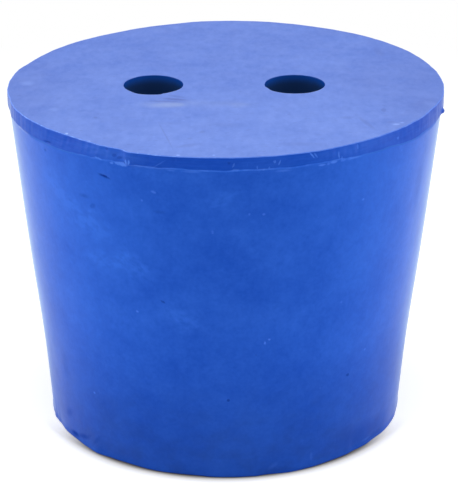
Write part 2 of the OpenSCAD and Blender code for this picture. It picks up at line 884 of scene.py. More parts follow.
@dataclass(frozen=True)
class RubbedTop(Rubber):
    """The flat top: a pale bloom, drawn out along x, with short dashes and scuffs."""

    name: str = "rubbed_top"
    deep: Colour = (0.038, 0.125, 0.545)
    pale: Colour = (0.116, 0.225, 0.695)
    soil: Colour = (0.020, 0.065, 0.360)
    torn: Colour = (0.260, 0.410, 0.930)
    grain: Layers = ((0.003, 0.3), (0.004, (2.0, 1.6, 2.0), 2.0, 4.0))
    roughness: float = 0.42
    gloss: float = 0.4
    rim: float = 0.0

    def tone(self, bench: Bench) -> Wire:
        """Makes the bloom, stronger to the front, with streaks and dashes along x.

        Args:
            bench: The material's bench.

        Returns:
            The colour without marks.
        """
        cloud = (0.9, (4.5, 3.6, 4.5), 3.0)
        mottle = (0.9, (0.5, 1.0, 0.5), 4.0, 8.0)
        drawn = (0.35, (1.8, 1.5, 1.8), 3.0, 4.0)
        front = bench.step(bench.part("Y"), 12.0, -18.0)
        share = 0.19 + front * 0.46 + bench.lumps(cloud, mottle, drawn)
        base = bench.mix(share, self.deep, self.pale)
        dash = bench.blots(0.6, 0.76, (0.8, 0.3, 0.8), 2.0, 7.0)
        base = bench.mix(dash * (0.08 + front * 0.26), base, self.soil)
        fleck = bench.blots(0.68, 0.82, (0.45, 0.2, 1.0), 1.0, 15.0)
        base = bench.mix(fleck * front * 0.4, base, self.torn)
        return bench.mix(bench.specks(2.6, 0.14, 5.0) * 0.2, base, self.soil)


@dataclass(frozen=True)
class HoleSkin(Rubber):
    """The inside of the holes: darker from just inside the mouths in.

    Attributes:
        top: Height of the top mouth.
        dark_depth: Depth at which the darkening is full.
    """

    name: str = "hole_skin"
    deep: Colour = (0.012, 0.040, 0.140)
    pale: Colour = (0.006, 0.062, 0.350)
    roughness: float = 0.8
    gloss: float = 0.0
    rim: float = 0.0
    top: float = 29.6
    dark_depth: float = 0.9

    def tone(self, bench: Bench) -> Wire:
        """Makes a darkening that deepens from the mouths in, uneven along upright draw lines.

        Args:
            bench: The material's bench.

        Returns:
            The colour without marks.
        """
        height = bench.part("Z")
        # Darker from just inside each mouth inwards.
        upper = bench.step(height, self.top - self.dark_depth, self.top)
        lower = bench.step(height, self.dark_depth, 0.0)
        drawn = bench.lumps((0.2, (0.5, 0.5, 6.0)))
        return bench.mix(upper.most(lower) + drawn, self.deep, self.pale)


@dataclass(frozen=True)
class StoodFoot(Rubber):
    """The flat foot: moulded like the wall and soiled in patches by what it stood on."""

    name: str = "stood_foot"

    def tone(self, bench: Bench) -> Wire:
        """Makes clouds with soft soiled patches.

        Args:
            bench: The material's bench.

        Returns:
            The colour without marks.
        """
        base = bench.mix(bench.noise(4.0, detail=3.0), self.deep, self.pale)
        patchy = bench.blots(0.45, 0.75, 2.4, 3.0, 6.0)
        return bench.mix(patchy * 0.3, base, self.soil)


# The plug


@dataclass(frozen=True)
class Hole:
    """One hole right through the plug, with softened mouths.

    Attributes:
        centre: x and y of its axis.
        radius: Radius of its wall.
        lip_line: Change of its mouth's radius by angle in degrees, in millimetres.
        lip_fade: Depth over which that change fades out.
    """

    centre: tuple[float, float]
    radius: float
    lip_line: Stops
    lip_fade: float = 0.45 * MM

    def mouth(self, turn: np.ndarray, depth: np.ndarray) -> np.ndarray:
        """Returns the radius there: radius + lip_line(turn) * exp(-(depth / lip_fade) ** 2)."""
        torn = eased_loop(turn, self.lip_line) * MM
        return self.radius + torn * np.exp(-((depth / self.lip_fade) ** 2))


@dataclass
class Plug:
    """The stopper's one moulded body. Lengths are metres, and angles run round the z axis.

    A line is pairs of an angle in degrees and the millimetres there, and waves are what ripples()
    adds up. An arc is a number of points, and steps are numbers of rows of faces.

    Attributes:
        band_radius: Radius of the band's true circle; the rim's radius is that and trim_line.
        foot_radius: Radius at which the wall's line meets the floor.
        wall_top_radius: Radius at which it meets the lip.
        waist: Height, reach and depth of the wall's slight waist.
        band_height: The band's least height; band_line adds to it.
        lip_height: Height of the sloping lip under the band.
        ledge: How far inside the wall's edge the band may start.
        lean: How far the top stands to the right of the foot.
        sharp_deg: Angle between two faces from which their edge is shaded as sharp.
        middle_points: Number of points on the line between the halves of a face.
        face_margin: Width of the narrow ring of faces inside a face's borders.
        face_steps: Even steps across the top face and across the foot.
        wall_heights: Heights between which the wall's rows are even, before they are scaled.
        bore_depths: Depths of the rows down a hole, in millimetres.
        trim_line: How far the trimmed rim stands outside the band's circle. The knife went in at
            244 degrees, bit deeper to the right of it and left the back proud.
        trim_waves: Fine waver of the rim, in millimetres, as band_waves is of the band's foot.
        foot_line: How far the foot's edge stands outside its true circle.
        foot_fade: How far up that fades out.
        tear_line: How rough the cut tore the rim and the band.
        torn_waves: The rim's roughness, as shares of the tear line.
        ragged_waves: The roughness of the band's foot, in the same way.
        pit_waves: Pits in the band: the product of sin(count * angle + rate * height + start).
        soft_side: How far below the top a mark also lies on the band and the lip.
        lit_patch_depth: Half the thickness of a patch of painted light, in millimetres.
        scars: Marks on the side.
        smears: Pale smears on the wall, of which only place and size count.
        lit_patches: Wide stretches of painted light on the wall, in the same way.
        rubs: Marks on the top face.
    """

    height: float
    band_radius: float
    holes: tuple[Hole, ...]
    foot_radius: float = 15.5 * MM
    wall_top_radius: float = 18.48 * MM
    waist: tuple[float, float, float] = (7.0 * MM, 6.5 * MM, 0.17 * MM)
    band_height: float = 1.0 * MM
    lip_height: float = 0.12 * MM
    ledge: float = 0.04 * MM
    foot_edge: float = 0.2 * MM
    top_edge: float = 0.09 * MM
    mouth_edge: float = 0.04 * MM
    lean: float = 0.14 * MM
    sharp_deg: float = 40.0
    columns: int = 720
    middle_points: int = 200
    face_margin: float = 0.08 * MM
    face_steps: tuple[int, int] = (7, 4)
    foot_arc: int = 7
    top_arc: int = 5
    mouth_arc: int = 4
    band_steps: int = 9
    wall_heights: tuple[float, ...] = (0.0, 2.0, 25.4, 28.5)
    wall_steps: tuple[int, ...] = (8, 26, 18)
    bore_depths: tuple[float, ...] = (0.16, 0.3, 0.5, 0.8, 1.4, 3.0, 8.0)
    trim_line: Stops = (
        (0, 0.13), (15, 0.15), (34, 0.3), (48, 0.36), (62, 0.31), (80, 0.44), (95, 0.4),
        (109, 0.05), (125, -0.2), (141, -0.13), (157, -0.14), (169, 0.12), (182, 0.14), (190, 0.06),
        (199, 0.11), (207, 0.0), (215, -0.17), (226, -0.38), (233, -0.32), (238, -0.2),
        (243.0, -0.24), (244.8, 0.1), (251, 0.01),
        (268, -0.17), (296, -0.2), (302, -0.3), (314, -0.3), (337, -0.15), (350, 0.09),
    )
    trim_waves: Waves = ((0.012, 37, 1.0), (0.008, 61, 2.2))
    band_line: Stops = (
        (0, 0.3), (45, 0.05), (100, 0.0), (140, 0.3), (185, 0.1), (212, 0.28), (222, 0.3),
        (231, 0.09), (240, 0.06), (250, 0.0), (262, 0.0), (300, -0.04), (314, 0.08), (328, 0.36),
        (342, 0.4),
    )
    band_waves: Waves = ((0.03, 19, 0.7), (0.02, 43, 0.0))
    foot_line: Stops = (
        (0, 0.02), (60, -0.05), (120, 0.05), (180, 0.0), (192, 0.0), (195, 0.07), (198, -0.02),
        (201, -0.08), (206, -0.02), (213, -0.05), (219, 0.04), (225, 0.18), (231, 0.0), (236, -0.05),
        (247, 0.08), (260, 0.0), (267, 0.16), (273, 0.2), (277, 0.18), (279, 0.22), (283, 0.1),
        (291, 0.28), (297, 0.18), (306, 0.04), (312, 0.04), (315, -0.06), (321, 0.03), (326, -0.04),
        (333, 0.06), (342, 0.05), (350, -0.04),
    )
    foot_fade: float = 1.2 * MM
    tear_line: Stops = (
        (0, 0.01), (205, 0.01), (230, 0.02), (237, 0.04), (245, 0.04), (248, 0.02), (270, 0.01),
        (290, 0.01), (296, 0.03), (303, 0.03), (309, 0.01), (325, 0.01), (342, 0.006), (351, 0.01),
    )
    torn_waves: Waves = ((0.5, 113, 0.0), (0.4, 167, 2.0))
    ragged_waves: Waves = ((0.6, 91, 1.0), (0.42, 151, 0.0))
    pit_waves: Waves = ((73, 5200.0, 0.0), (139, -7300.0, 1.0))
    soft_side: float = 1.4 * MM
    lit_patch_depth: float = 9.0
    scars: tuple[Scar, ...] = (
        *Scar.rows(
            Tint.NAVY,
            # A slit and dashes under the band on the left, darkened with painted shade
            (238.2, 27.05, 0.45, 0.09, 1.0, -14, 0.1), (218.2, 28.48, 0.45, 0.07, 0.65, 4, 0.06),
            (217.0, 27.66, 0.16, 0.12, 0.3, 0, 0.03),
            # Pits where the knife went in, and one in the middle of the band, darkened with painted
            # shade
            (239.1, 29.43, 0.12, 0.1, 0.35, 0, 0.03), (241.4, 29.01, 0.2, 0.14, 0.4, 0, 0.04),
            (243.0, 28.92, 0.25, 0.12, 0.4, 15, 0.04),
            (271.1, 29.14, 0.1, 0.1, 0.5, 0, 0.04),
            # Smudges and streaks round the foot, partly painted shadow at its edge, a chip there
            # darkened with painted shadow, and soft darker patches higher up
            (192.0, 0.1, 0.5, 0.25, 0.54), (210.3, 2.4, 0.6, 0.32, 0.28, 35),
            (211.5, 7.0, 0.5, 1.0, 0.16), (212.6, 0.55, 0.6, 0.22, 0.85, 4),
            (218.0, 0.9, 0.8, 0.2, 0.55, 14), (220.6, 1.15, 0.5, 0.13, 0.3, 30),
            (225.0, 1.2, 0.65, 0.17, 0.35, 48), (226.4, 0.5, 0.5, 0.3, 0.2),
            (287.5, 0.0, 2.2, 0.3, 0.27, 0, 0.2), (319.5, 1.4, 3.4, 1.0, 0.38),
            (325.5, 0.6, 1.3, 0.4, 0.34), (329.0, 6.5, 3.2, 4.5, 0.12), (207.0, 14.0, 2.4, 5.0, 0.08),
            (333.3, 23.4, 0.6, 1.8, 0.16),
            # Small pits, darkened with painted shade, and smudges on the wall
            (231.0, 24.8, 0.45, 0.16, 0.3), (233.6, 24.1, 0.3, 0.2, 0.27, 30),
            (252.9, 16.49, 0.2, 0.09, 0.6, -28, 0.02), (253.4, 24.66, 0.45, 0.14, 0.25),
            (270.9, 7.44, 0.13, 0.12, 0.81, 0, 0.02), (309.4, 8.05, 0.16, 0.13, 0.68, 0, 0.02),
        ),
        *Scar.rows(
            Tint.SOIL,
            # A burr on the right
            (349.0, 28.35, 0.32, 0.22, 0.15, 0, -0.2),
        ),
        *Scar.rows(
            Tint.TORN,
            # Torn flecks where the knife went in
            (236.8, 28.53, 0.35, 0.07, 0.45, -12, 0.02), (240.8, 28.38, 0.16, 0.1, 0.5, 0, 0.02),
            (242.5, 28.44, 0.26, 0.12, 0.55, -8, 0.03), (243.9, 28.43, 0.4, 0.17, 0.65, -5, 0.03),
            (245.0, 28.71, 0.09, 0.22, 0.6, 10, 0.03), (245.9, 28.72, 0.09, 0.2, 0.6, -12, 0.03),
            # Paler stretches of the band, flecks along the lip, torn rubber with painted highlight,
            # and small cuts
            (239.5, 29.1, 2.6, 0.5, 0.18), (206.0, 28.9, 5.0, 0.7, 0.09),
            (304.5, 29.15, 4.0, 0.5, 0.11), (281.0, 29.0, 2.2, 0.5, 0.05),
            (248.4, 28.51, 0.4, 0.08, 0.2), (251.1, 28.49, 0.4, 0.08, 0.2),
            (253.7, 28.86, 0.5, 0.04, 0.2, 34), (256.7, 28.42, 0.3, 0.08, 0.2, 0, 0.02),
            (261.9, 28.42, 0.6, 0.09, 0.26, 0, 0.02), (272.2, 28.99, 0.06, 0.2, 0.25, -30, 0.02),
            (272.7, 28.6, 0.3, 0.07, 0.31, 0, 0.03), (278.0, 28.76, 0.07, 0.12, 0.26),
            (279.6, 28.57, 0.12, 0.08, 0.26), (281.0, 28.67, 0.07, 0.12, 0.26),
            (282.4, 29.12, 0.12, 0.12, 0.35), (283.6, 29.04, 0.06, 0.22, 0.4, -20),
            (284.6, 28.34, 0.5, 0.08, 0.29, 0, 0.02), (292.1, 29.31, 0.07, 0.3, 0.5, 35, 0.03),
            (293.1, 29.27, 0.06, 0.24, 0.4, 35, 0.03), (294.6, 28.41, 0.3, 0.08, 0.45, 0, 0.02),
            (296.4, 28.43, 0.12, 0.1, 0.31, 0, 0.02), (297.9, 28.49, 0.3, 0.1, 0.5, 0, 0.03),
            (300.6, 28.48, 0.25, 0.07, 0.26, 0, 0.02), (303.6, 28.48, 0.5, 0.07, 0.4, 0, 0.02),
            (299.5, 28.97, 0.07, 0.3, 0.45, 0, 0.02), (300.3, 28.63, 0.1, 0.2, 0.26, 0, 0.02),
            (305.4, 29.25, 0.1, 0.22, 0.35), (319.6, 28.92, 0.14, 0.12, 0.3),
            # Flecks near the foot
            (284.7, 0.8, 0.5, 0.16, 0.09, 35), (297.6, 1.1, 0.13, 0.35, 0.1),
            (321.4, 0.6, 0.55, 0.1, 0.21),
            # Specks on the wall
            (225.9, 5.95, 0.11, 0.1, 0.36, 0, -0.02), (245.1, 15.22, 0.11, 0.11, 0.47, 0, -0.02),
            (248.7, 25.5, 0.09, 0.09, 0.29), (252.0, 26.37, 0.2, 0.1, 0.34, -15, -0.02),
            (266.9, 23.14, 0.08, 0.15, 0.21), (276.2, 24.7, 0.09, 0.09, 0.23),
            (279.9, 24.64, 0.12, 0.1, 0.31), (281.2, 12.8, 0.09, 0.13, 0.52, 0, -0.02),
            (282.4, 13.1, 0.1, 0.09, 0.52, 0, -0.02), (304.0, 15.45, 0.1, 0.1, 0.21),
            (308.1, 24.5, 0.12, 0.1, 0.39, 0, -0.02), (315.6, 9.93, 0.13, 0.12, 0.29),
        ),
    )
    smears: tuple[Scar, ...] = (
        Scar(221.6, 24.2, 1.7, 0.6, slant_deg=-31),
        Scar(231.2, 22.6, 2.0, 1.0, slant_deg=-18),
        Scar(237.0, 19.5, 2.0, 0.8, slant_deg=7),
        Scar(244.8, 19.5, 1.9, 1.0, slant_deg=-33),
        Scar(257.6, 15.1, 1.5, 0.9, slant_deg=-28),
        Scar(269.4, 26.2, 1.4, 0.6, slant_deg=12),
    )
    lit_patches: tuple[Scar, ...] = (Scar(213.0, 20.5, 8.5, 10.0), Scar(326.0, 23.0, 9.0, 12.0))
    rubs: tuple[Rub, ...] = (
        *Rub.rows(
            Tint.SOIL,
            # The fold above the scuff beside the left hole, as a painted shadow line
            (-4.1, -3.95, 1.0, 0.28, 0.68, 1.2, -14), (-4.9, -4.5, 1.4, 0.24, 0.5, 1.2, -5),
            (-4.4, -4.3, 1.4, 0.7, 0.2, 1.6, -8), (-4.0, -3.2, 0.8, 0.25, 0.36, 1.2, -28),
            (-3.3, -4.6, 0.14, 0.7, 0.2, 1.3, -45), (0.3, -5.1, 1.6, 0.3, 0.1, 1.6, -8),
            # A thin scratch and short worn dashes to the front
            (-4.75, -12.9, 2.9, 0.06, 0.28, 1.4, -78.5), (-10.59, -8.55, 0.16, 0.2, 0.4),
            (-8.5, -16.3, 0.65, 0.2, 0.3, 1.2, -16), (-2.8, -15.4, 0.9, 0.3, 0.22, 1.4, 22),
            (-1.8, -12.2, 0.22, 0.3, 0.3, 1.2, -20), (-4.1, -10.1, 1.0, 0.4, 0.12, 1.6),
            (0.0, -10.5, 1.6, 0.5, 0.14, 1.6, -10), (6.0, -15.2, 1.7, 0.4, 0.16, 1.6),
            (10.0, -8.8, 0.5, 0.3, 0.22, 1.4),
            # Smudges on the right
            (13.8, 8.9, 0.4, 1.2, 0.3, 1.4, 10), (14.3, 3.1, 0.6, 2.0, 0.16, 1.6, -30),
            (14.5, -2.1, 1.0, 0.6, 0.14, 1.6), (17.5, -1.0, 4.5, 10.0, 0.22, 1.8),
            (12.6, 0.5, 2.8, 4.5, 0.2, 1.8), (13.2, -6.9, 0.22, 0.45, 0.4),
            (15.9, -6.9, 0.28, 0.55, 0.3), (11.6, -10.2, 0.2, 1.5, 0.3, 1.2, 20),
            (16.8, -5.5, 1.6, 2.6, 0.34, 1.6, -30), (13.6, -9.95, 0.4, 0.25, 0.28, 1.2, 20),
            # A film along the left edge
            (-17.8, -2.0, 3.2, 8.0, 0.22, 1.8),
        ),
        *Rub.rows(
            Tint.TORN,
            # Flecks and a pale patch on the right
            (14.0, -10.5, 0.28, 0.2, 0.55, 1.1, 12), (14.5, -10.1, 0.14, 0.16, 0.4, 1.1),
            (17.3, -5.5, 0.4, 0.8, 0.12, 1.4, 30),
            # Flecks on the left and along the front edge
            (-16.9, 0.5, 0.5, 0.5, 0.2, 1.5, 10), (-14.1, -6.45, 0.4, 0.4, 0.24, 1.4, 10),
            (-12.7, -12.5, 0.12, 0.2, 0.9), (-10.82, -14.4, 0.12, 0.16, 0.6),
            (-3.65, -17.7, 0.14, 0.18, 0.5), (-0.84, -17.7, 0.1, 0.15, 0.45),
        ),
        *Rub.rows(
            Tint.DULL,
            # The scuff beside the left hole
            (-4.75, -5.4, 1.6, 0.6, 0.36, 1.5, 2), (-3.95, -5.35, 0.75, 0.5, 0.4, 1.2, -4),
            (-5.9, -5.2, 1.2, 0.6, 0.16, 1.6), (-2.6, -5.0, 0.8, 0.5, 0.16, 1.5, -20),
            (1.2, -5.4, 0.9, 0.6, 0.18, 1.5), (-0.8, -5.1, 3.2, 0.8, 0.1, 1.6),
        ),
    )

    @classmethod
    def from_frame(cls, record: dict[str, Any]) -> "Plug":
        """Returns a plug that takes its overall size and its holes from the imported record.

        Args:
            record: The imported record, with its mounts.

        Returns:
            The plug.
        """
        low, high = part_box(NODE)
        bores = {m["name"]: m for m in record["mounts"] if m["kind"] == "bore"}
        lips = {
            "hole_left": ((0, 0.0), (37, 0.02), (66, 0.08), (90, 0.1), (114, 0.12), (143, 0.05),
                          (175, 0.0), (217, 0.0), (246, 0.16), (270, 0.1), (284, 0.12),
                          (291, -0.03), (306, -0.06), (335, 0.0)),
            "hole_right": ((0, 0.02), (66, 0.04), (90, 0.06), (143, 0.06), (172, 0.03), (190, 0.06),
                           (205, -0.02), (217, 0.06), (246, 0.0), (270, -0.05), (300, 0.0)),
        }
        holes = tuple(
            Hole(tuple(bores[n]["pos_m"][:2]), bores[n]["dims"]["r_mm"] * MM, lips[n])
            for n in sorted(bores)
        )
        return cls(height=high.z - low.z, band_radius=(high.x - low.x) / 2, holes=holes)

    @property
    def slope(self) -> float:
        """Rise of the wall's radius for each unit of height."""
        wall_top = self.height - self.band_height - self.lip_height
        return (self.wall_top_radius - self.foot_radius) / wall_top

    def wall_radius(self, height: Any) -> Any:
        """Returns the radius of the tapered wall, a straight line up from the foot."""
        return self.foot_radius + self.slope * height

    def foot_rows(self, theta: np.ndarray) -> tuple[np.ndarray, np.ndarray]:
        """Works out the foot's edge.

        Each column is an arc that leaves the flat foot level and meets the wall along its slope.

        Args:
            theta: Angle of each column.

        Returns:
            Radii and heights, each of shape (rows, columns).
        """
        edge = self.foot_edge
        taper = math.atan(self.slope)
        inset = edge / math.tan((math.pi / 2 + taper) / 2)
        turn = np.linspace(-math.pi / 2, -taper, self.foot_arc)[:, None]
        flat = 0.0 * theta
        return self.foot_radius - inset + edge * np.cos(turn) + flat, edge + edge * np.sin(turn) + flat

    def band_rows(self, theta: np.ndarray) -> tuple[np.ndarray, np.ndarray]:
        """Works out the band and the rounding up to the top face.

        The band runs straight from its foot to the trimmed rim. Its foot is the rim's own radius
        or, where the knife cut deeper than the wall, a narrow ledge inside the wall's edge. Pits
        move it by tear_line * pits * sin(pi * share), where share is how far up the band they are.

        Args:
            theta: Angle of each column.

        Returns:
            Radii and heights, each of shape (rows, columns).
        """
        tear = eased_loop(theta, self.tear_line)
        rough = ripples(theta, self.trim_waves) + tear * ripples(theta, self.torn_waves)
        rim = self.band_radius + (eased_loop(theta, self.trim_line) + rough) * MM
        uneven = ripples(theta, self.band_waves) + tear * ripples(theta, self.ragged_waves)
        tall = self.band_height + (eased_loop(theta, self.band_line) + uneven) * MM
        low = self.height - tall
        seat = np.maximum(rim, self.wall_radius(low) - self.ledge)
        share = np.linspace(0.0, 1.0, self.band_steps)[:, None]
        height = low + (self.height - self.top_edge - low) * share
        waves = (np.sin(n * theta + rate * height + start) for n, rate, start in self.pit_waves)
        pits = math.prod(waves)
        radius = seat + (rim - seat) * share + tear * MM * pits * np.sin(math.pi * share)
        turn = np.linspace(0.0, math.pi / 2, self.top_arc)[1:, None]
        edge_radius = rim - self.top_edge + self.top_edge * np.cos(turn)
        edge_height = self.height - self.top_edge + self.top_edge * np.sin(turn) + 0.0 * theta
        return np.concatenate([radius, edge_radius]), np.concatenate([height, edge_height])

    def skin(self) -> Patch:
        """Makes the whole side, from the foot's flat to the top face's flat.

        Each column is the profile at one angle: foot edge, tapered wall, lip, band and top edge.
        Low down the wall is slightly waisted, by sink * exp(-((height - middle) / reach) ** 2), and
        the foot's edge stands out by foot_line * exp(-height / foot_fade).
        Scars then push points in or out, less and less over the foot's edge, and the wall leans a
        little to the right as it rises.

        Returns:
            The side, with its zones from the foot up.
        """
        theta = np.arange(self.columns) * TURN / self.columns
        foot_r, foot_z = self.foot_rows(theta)
        band_r, band_z = self.band_rows(theta)
        share = graded(self.wall_heights, self.wall_steps)[1:, None] / self.wall_heights[-1]
        wall_z = foot_z[-1] + (band_z[0] - self.lip_height - foot_z[-1]) * share
        middle, reach, sink = self.waist
        wall_r = self.wall_radius(wall_z) - sink * np.exp(-(((wall_z - middle) / reach) ** 2))
        radius = np.concatenate([foot_r, wall_r, band_r])
        height = np.concatenate([foot_z, wall_z, band_z])
        radius = radius + eased_loop(theta, self.foot_line) * MM * np.exp(-height / self.foot_fade)
        for scar in self.scars:
            cover = scar.cover(theta, height, self.band_radius)
            radius = radius - scar.depth * MM * cover * np.minimum(height / self.foot_edge, 1.0)
        x = radius * np.cos(theta) + self.lean * height / self.height
        y = radius * np.sin(theta)
        counts = {
            Zone.WALL: len(foot_r) + len(wall_z) - 1,
            Zone.LIP: 1,
            Zone.BAND: self.band_steps,
            Zone.EDGE: self.top_arc - 2,
        }
        zones = np.repeat([z.value for z in counts], list(counts.values()))
        return Patch(np.stack([x, y, height], axis=-1), zones)

    def loops(self, rim: np.ndarray) -> tuple[np.ndarray, np.ndarray]:
        """Splits a face into a left and a right half, whose borders each turn to the left.

        Each border is half of the rim and the middle line between its back and front points.

        Args:
            rim: Points of the face's rim, of shape (columns, 2), from angle 0.

        Returns:
            The left and the right border, each of shape (points, 2).
        """
        quarter = self.columns // 4
        back, front = rim[quarter], rim[3 * quarter]
        share = np.linspace(0.0, 1.0, self.middle_points + 2)[1:-1, None]
        middle = back + (front - back) * share
        left = np.concatenate([rim[quarter : 3 * quarter + 1], middle[::-1]])
        right = np.concatenate([rim[3 * quarter :], rim[: quarter + 1], middle])
        return left, right

    def fan(self, loop: np.ndarray, mouth: np.ndarray, height: float, steps: int) -> np.ndarray:
        """Makes a flat grid of straight rays from a face's border in to a hole's mouth.

        Each ray has a point close inside both its ends, which keeps the face's shading flat, and
        even steps between them.

        Args:
            loop: Border points, of shape (points, 2).
            mouth: The mouth's point for each border point, of the same shape.
            height: Height of the face.
            steps: Number of even steps.

        Returns:
            Points of shape (rows, points, 3).
        """
        thin = self.face_margin
        length = np.linalg.norm(mouth - loop, axis=1)
        inner = thin + (length - 2 * thin) * np.linspace(0.0, 1.0, steps + 1)[:, None]
        travel = np.concatenate([np.zeros((1, len(loop))), inner, length[None]]) / length
        flat = loop + (mouth - loop) * travel[..., None]
        return np.concatenate([flat, np.full(flat.shape[:2] + (1,), height)], axis=-1)

    def tube(self, hole: Hole, top_turn: np.ndarray, foot_turn: np.ndarray) -> np.ndarray:
        """Makes the grid of a hole's wall, from its top mouth down to its foot mouth.

        Both mouths are quarter rounds. Between them each column's angle moves evenly from its
        place in the top fan to its place in the foot fan.

        Args:
            hole: The hole.
            top_turn: Angle of each column at the top mouth.
            foot_turn: Angle of each column at the foot mouth.

        Returns:
            Points of shape (rows, columns, 3).
        """
        edge = self.mouth_edge
        arc = np.linspace(0.0, math.pi / 2, self.mouth_arc)
        lip_depth = edge - edge * np.cos(arc)
        lip_flare = edge - edge * np.sin(arc)
        inside = np.array(self.bore_depths) * MM
        depth = np.concatenate([lip_depth, inside, self.height - lip_depth[::-1]])[:, None]
        flare = np.concatenate([lip_flare, 0.0 * inside, lip_flare[::-1]])[:, None]
        swing = (foot_turn - top_turn + math.pi) % TURN - math.pi
        turn = top_turn + swing * depth / self.height
        radius = hole.mouth(turn, depth) + flare
        x = hole.centre[0] + radius * np.cos(turn)
        y = hole.centre[1] + radius * np.sin(turn)
        return np.stack([x, y, self.height - depth + 0.0 * turn], axis=-1)

    def patches(self) -> list[Patch]:
        """Makes the closed skin: the side, two fans a face, and the holes.

        Returns:
            The patches, with the same points along each shared border.
        """
        side = self.skin()
        made = [side]
        rounds = self.mouth_arc - 1
        top_loops = self.loops(side.points[-1, :, :2])
        foot_loops = self.loops(side.points[0, :, :2])
        for hole, top_loop, foot_loop in zip(self.holes, top_loops, foot_loops):
            centre = np.array(hole.centre)
            top_turn = np.arctan2(*(top_loop - centre).T[::-1])
            foot_turn = np.arctan2(*(foot_loop - centre).T[::-1])
            wall = self.tube(hole, top_turn, foot_turn)
            top = self.fan(top_loop, wall[0, :, :2], self.height, self.face_steps[0])
            foot = self.fan(foot_loop, wall[-1, :, :2], 0.0, self.face_steps[1])
            made.append(Patch(top, np.full(len(top) - 1, Zone.TOP.value)))
            zones = np.full(len(wall) - 1, Zone.BORE.value)
            zones[:rounds] = Zone.TOP.value
            zones[-rounds:] = Zone.FOOT.value
            made.append(Patch(wall, zones))
            made.append(Patch(foot, np.full(len(foot) - 1, Zone.FOOT.value), flip=True))
        return made

    def build(self) -> bpy.types.Object:
        """Makes the plug's mesh, in place and riding on the CAD body.

        Returns:
            The plug's object.
        """
        points, quads, zones = weld(self.patches())
        mesh = bpy.data.meshes.new("stopper_rubber")
        mesh.from_pydata(points, [], quads)
        mesh.polygons.foreach_set("material_index", zones)
        mesh.polygons.foreach_set("use_smooth", np.ones(len(quads), bool))
        mesh.set_sharp_from_angle(angle=math.radians(self.sharp_deg))
        mesh.update()
        piece = bpy.data.objects.new("stopper_rubber", mesh)
        bpy.context.scene.collection.objects.link(piece)
        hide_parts(NODE)
        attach(piece, "root")
        return piece

    def laid(self, scar: Scar, thick: float = 3.0) -> Oval:
        """Returns the scar as an oval on the wall, of that half thickness in millimetres."""
        return scar.oval(self.wall_radius(scar.height * MM) / MM, thick)

    def dress(self, piece: bpy.types.Object) -> None:
        """Gives the piece one finish for each zone.

        Args:
            piece: The plug's object, whose faces name their zones.
        """
        side_marks = [Mark(self.laid(s), s.tint, s.strength, s.fade) for s in self.scars]
        seam = (self.height - self.soft_side) / MM
        edge_marks = tuple(m for m in side_marks if m.oval.middle.z >= seam)
        top_marks = tuple(r.mark(self.height / MM) for r in self.rubs)
        wall = MouldedWall(
            marks=tuple(side_marks),
            smears=tuple(self.laid(s) for s in self.smears),
            lit_patches=tuple(self.laid(s, self.lit_patch_depth) for s in self.lit_patches),
        )
        finishes = {
            Zone.WALL: wall,
            Zone.LIP: TornHighlitLip(marks=edge_marks),
            Zone.BAND: TrimmedBand(marks=edge_marks),
            Zone.TOP: RubbedTop(marks=top_marks),
            Zone.BORE: HoleSkin(top=self.height / MM),
            Zone.FOOT: StoodFoot(),
            Zone.EDGE: HighlitEdge(),
        }
        for zone in Zone:
            piece.data.materials.append(finishes[zone].material())


# Studio


@dataclass(frozen=True)
class Softbox:
    """A square lamp with an even face. Places and sizes are millimetres.

    Attributes:
        name: Name of the lamp.
        place: Where its middle is.
        size: Length of its sides.
        radiance: Brightness of its face, where 1 is a white wall in plain light.
    """

    name: str
    place: Triple
    size: float
    radiance: float

    def build(self, aim: Vector) -> bpy.types.Object:
        """Makes the lamp, with the wattage that gives its radiance: radiance * pi * area.

        Args:
            aim: The point that it faces, in metres.

        Returns:
            The lamp's object.
        """
        lamp = bpy.data.lights.new(self.name, "AREA")
        lamp.size = self.size * MM
        lamp.energy = self.radiance * math.pi * (self.size * MM) ** 2
        lit = bpy.data.objects.new(self.name, lamp)
        lit.location = Vector(self.place) * MM
        lit.rotation_euler = (aim - lit.location).to_track_quat("-Z", "Y").to_euler()
        bpy.context.scene.collection.objects.link(lit)
        return lit


